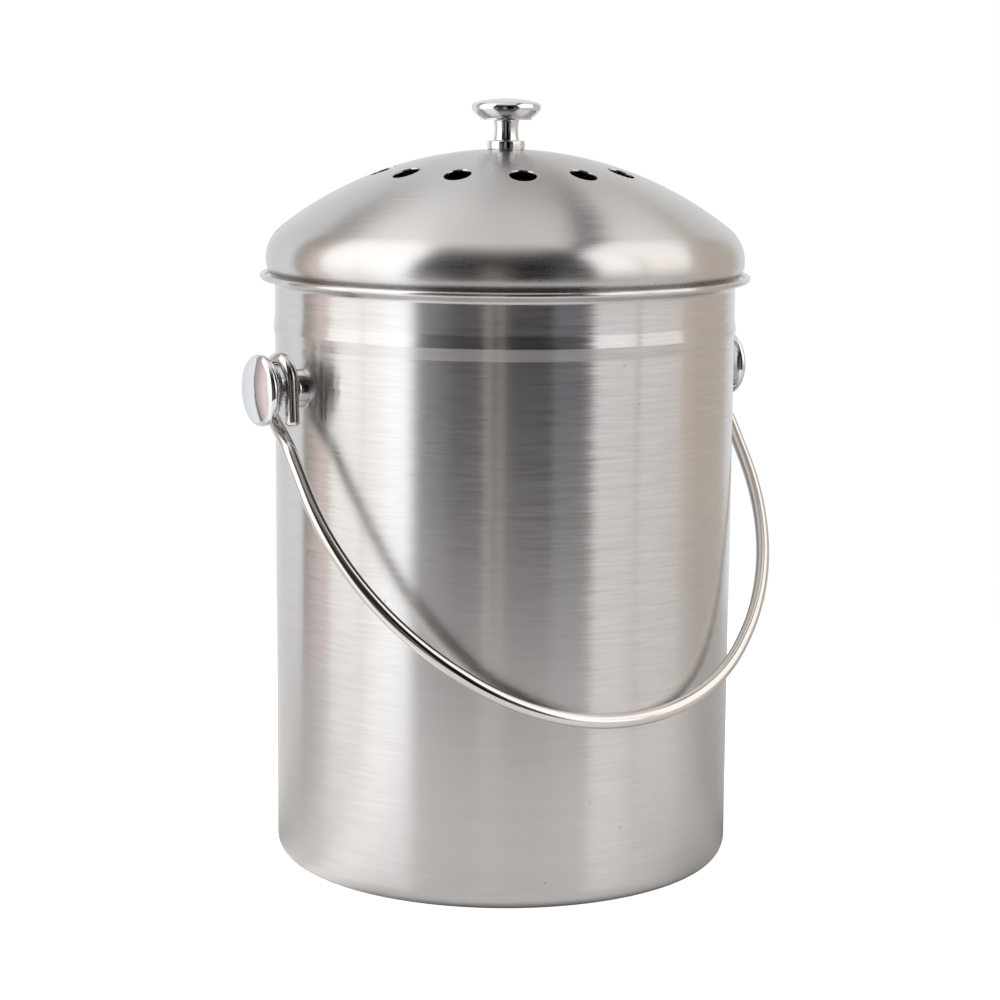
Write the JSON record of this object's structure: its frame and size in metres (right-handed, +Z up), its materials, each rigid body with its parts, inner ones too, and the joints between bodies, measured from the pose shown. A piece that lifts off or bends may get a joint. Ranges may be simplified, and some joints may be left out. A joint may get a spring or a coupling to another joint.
{
  "type": "compost caddy",
  "caption": "Round stainless countertop compost pail with a vented domed lift-off lid, a charcoal filter under the lid and a swinging wire bail.",
  "frame": {"origin": "centre of the footprint, on the plane that the standing ring rests on", "axes": "+Z up; the two bail studs lie on the X axis direction, and the bail rests against the front wall on the -Y side"},
  "size_m": [0.21, 0.183, 0.2855],
  "materials": {
    "brushed_body": "brushed round the pail",
    "brushed_lid": "satin, brushed round the dome",
    "cast_chrome": "mirror plated casting",
    "polished_wire": "polished steel wire",
    "zinc_hardware": "bright zinc plate",
    "seal_rubber": "matt rubber",
    "holder_plastic": "moulded, fine grain",
    "charcoal_felt": "needled carbon felt"
  },
  "bodies": {
    "pail": {"pail_shell": "brushed_body", "left_bail_stud": "cast_chrome", "right_bail_stud": "cast_chrome", "left_stud_seal": "seal_rubber", "right_stud_seal": "seal_rubber", "left_stud_washer": "zinc_hardware", "right_stud_washer": "zinc_hardware", "left_stud_lock_washer": "zinc_hardware", "right_stud_lock_washer": "zinc_hardware", "left_stud_screw": "zinc_hardware", "right_stud_screw": "zinc_hardware"},
    "bail": {"bail_wire": "polished_wire"},
    "lid": {"lid_dome": "brushed_lid", "lid_skirt": "brushed_lid", "lid_knob": "cast_chrome", "knob_washer": "zinc_hardware", "knob_lock_washer": "zinc_hardware", "knob_screw": "zinc_hardware"},
    "filter": {"filter_holder": "holder_plastic", "charcoal_filter": "charcoal_felt"}
  },
  "joints": [
    {"name": "bail_swing", "type": "hinge", "parent": "pail", "child": "bail", "pos_m": [0, 0, 0.1823], "axis": [-1, 0, 0], "range_deg": [0, 284]},
    {"name": "lid_lift", "type": "slide", "parent": "pail", "child": "lid", "axis": [0, 0, 1], "range_m": [0, 0.15]},
    {"name": "filter_holder_release", "type": "slide", "parent": "lid", "child": "filter", "axis": [0, 0, -1], "range_m": [0, 0.013]}
  ]
}
